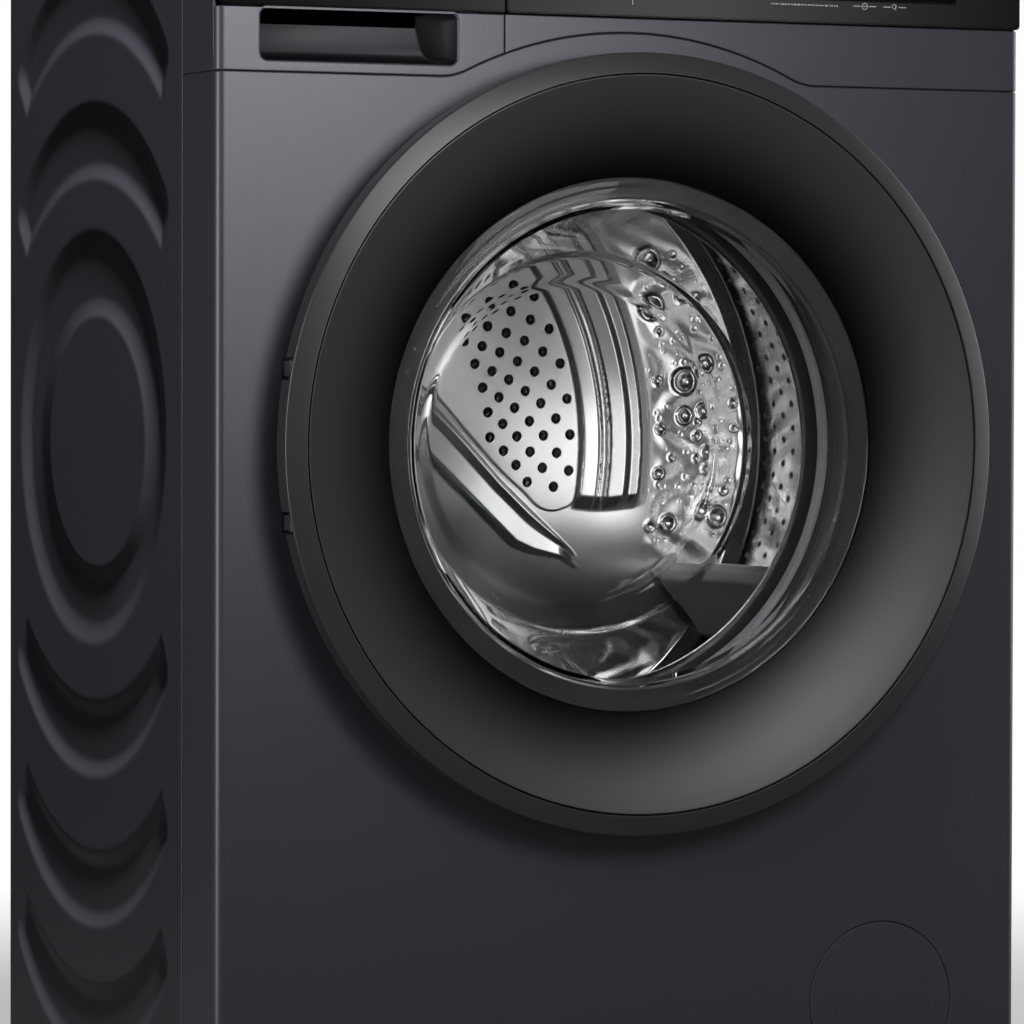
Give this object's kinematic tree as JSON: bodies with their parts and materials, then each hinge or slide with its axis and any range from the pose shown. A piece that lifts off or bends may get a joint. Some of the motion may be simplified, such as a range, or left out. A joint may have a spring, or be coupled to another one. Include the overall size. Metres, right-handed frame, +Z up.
{
  "type": "front load washing machine",
  "caption": "Slim front load washing machine with a large round door, a detergent drawer at the left, a dial and display, and the hung tub, drum and belt drive inside.",
  "frame": {"origin": "centre of the bounding box's bottom, on the floor", "axes": "+X to the viewer's right across the front, +Y from the door towards the back, +Z up"},
  "size_m": [0.595, 0.432, 0.85],
  "materials": {
    "cabinet_paint": "satin dark violet-grey metallic paint on sheet steel and matching trim",
    "side_paint": "satin charcoal paint on pressed sheet steel",
    "zinc_sheet": "zinc-coated sheet steel, dull",
    "worktop_dark": "dark laminate board with a moulded edge",
    "fascia_black": "black moulded plastic, semi-gloss",
    "display_glass": "black display window, high gloss",
    "circuit_board": "green printed circuit board",
    "foot_rubber": "black rubber pad with a moulded plastic stem",
    "dark_plastic": "black moulded plastic, matt",
    "white_plastic": "off-white moulded plastic",
    "tub_plastic": "grey filled polypropylene",
    "lifter_plastic": "pale grey moulded plastic",
    "gasket_rubber": "grey moulded rubber bellows",
    "hose_rubber": "black rubber",
    "hinge_casting": "dark coated zinc casting",
    "aluminium_casting": "raw die-cast aluminium",
    "bright_steel": "bright steel",
    "drum_steel": "polished stainless steel",
    "concrete": "cast concrete",
    "door_black": "black moulded plastic, satin",
    "door_glass": "clear pressed glass"
  },
  "bodies": {
    "cabinet": {"left_side_panel": "side_paint", "right_side_panel": "side_paint", "back_panel": "zinc_sheet", "base_tray": "dark_plastic", "front_panel": "cabinet_paint", "upper_front_panel": "cabinet_paint", "worktop": "worktop_dark", "control_fascia": "fascia_black", "display_window": "display_glass", "control_board": "circuit_board", "foot_front_left": "foot_rubber", "foot_front_right": "foot_rubber", "foot_rear_left": "foot_rubber", "foot_rear_right": "foot_rubber", "door_lock": "dark_plastic", "hinge_bracket": "hinge_casting", "inlet_valve": "white_plastic", "dispenser_housing": "white_plastic", "dispenser_hose": "hose_rubber", "pump_body": "white_plastic", "sump_hose": "hose_rubber", "drain_hose": "hose_rubber", "mains_inlet": "dark_plastic", "spring_left": "bright_steel", "spring_right": "bright_steel", "damper_cylinder_left": "dark_plastic", "damper_cylinder_right": "dark_plastic", "door_gasket": "gasket_rubber"},
    "tub": {"tub_front": "tub_plastic", "tub_rear": "tub_plastic", "counterweight": "concrete", "heater": "bright_steel", "motor_body": "aluminium_casting", "drive_belt": "hose_rubber", "bearing_front": "bright_steel", "bearing_rear": "bright_steel", "damper_rod_left": "bright_steel", "damper_rod_right": "bright_steel"},
    "drum": {"drum_shell": "drum_steel", "lifter_a": "lifter_plastic", "lifter_b": "lifter_plastic", "lifter_c": "lifter_plastic", "drum_spider": "aluminium_casting", "drum_shaft": "bright_steel", "drum_pulley": "aluminium_casting"},
    "rotor": {"motor_rotor": "bright_steel"},
    "door": {"door_ring": "door_black", "door_dish": "door_black", "door_back_frame": "dark_plastic", "door_glass": "door_glass", "hinge_arm": "hinge_casting", "hinge_pin": "bright_steel"},
    "hook": {"door_hook": "bright_steel"},
    "drawer": {"drawer_front": "cabinet_paint", "drawer_tray": "white_plastic"},
    "dial": {"programme_dial": "fascia_black"},
    "power_button": {"power_button": "fascia_black"},
    "start_button": {"start_button": "fascia_black"},
    "flap": {"filter_flap": "cabinet_paint"},
    "filter": {"pump_filter": "dark_plastic"}
  },
  "joints": [
    {"name": "tub_float", "type": "slide", "parent": "cabinet", "child": "tub", "axis": [0, 0, 1], "range_m": [-0.008, 0.008], "stiffness_N_per_m": 12000, "springref_m": 0.02053, "deforming": ["spring_left", "spring_right", "door_gasket", "dispenser_hose", "sump_hose"]},
    {"name": "drum_spin", "type": "hinge", "parent": "tub", "child": "drum", "pos_m": [0, 0, 0.469], "axis": [0, 1, 0], "continuous": true},
    {"name": "motor_spin", "type": "hinge", "parent": "tub", "child": "rotor", "pos_m": [0, 0, 0.14], "axis": [0, 1, 0], "continuous": true},
    {"name": "door_hinge", "type": "hinge", "parent": "cabinet", "child": "door", "pos_m": [-0.2485, -0.2005, 0.469], "axis": [0, 0, -1], "range_deg": [0, 125]},
    {"name": "hook_pivot", "type": "hinge", "parent": "door", "child": "hook", "pos_m": [0.2165, -0.1905, 0.469], "axis": [0, 0, 1], "range_deg": [0, 8], "stiffness_Nm_per_rad": 0.05, "springref_deg": -5.73},
    {"name": "drawer_slide", "type": "slide", "parent": "cabinet", "child": "drawer", "axis": [0, -1, 0], "range_m": [0, 0.2]},
    {"name": "dial_turn", "type": "hinge", "parent": "cabinet", "child": "dial", "pos_m": [0, -0.194, 0.7925], "axis": [0, 1, 0], "continuous": true},
    {"name": "power_press", "type": "slide", "parent": "cabinet", "child": "power_button", "axis": [0, 1, 0], "range_m": [0, 0.002], "stiffness_N_per_m": 600, "springref_m": -0.002},
    {"name": "start_press", "type": "slide", "parent": "cabinet", "child": "start_button", "axis": [0, 1, 0], "range_m": [0, 0.002], "stiffness_N_per_m": 600, "springref_m": -0.002},
    {"name": "flap_hinge", "type": "hinge", "parent": "cabinet", "child": "flap", "pos_m": [0.1918, -0.184, 0.0334], "axis": [1, 0, 0], "range_deg": [0, 95]},
    {"name": "filter_turn", "type": "hinge", "parent": "cabinet", "child": "filter", "pos_m": [0.1918, -0.154, 0.0875], "axis": [0, -1, 0], "range_deg": [0, 360]}
  ],
  "couplings": [
    {"joint": "motor_spin", "follows": "drum_spin", "ratio": 14}
  ]
}
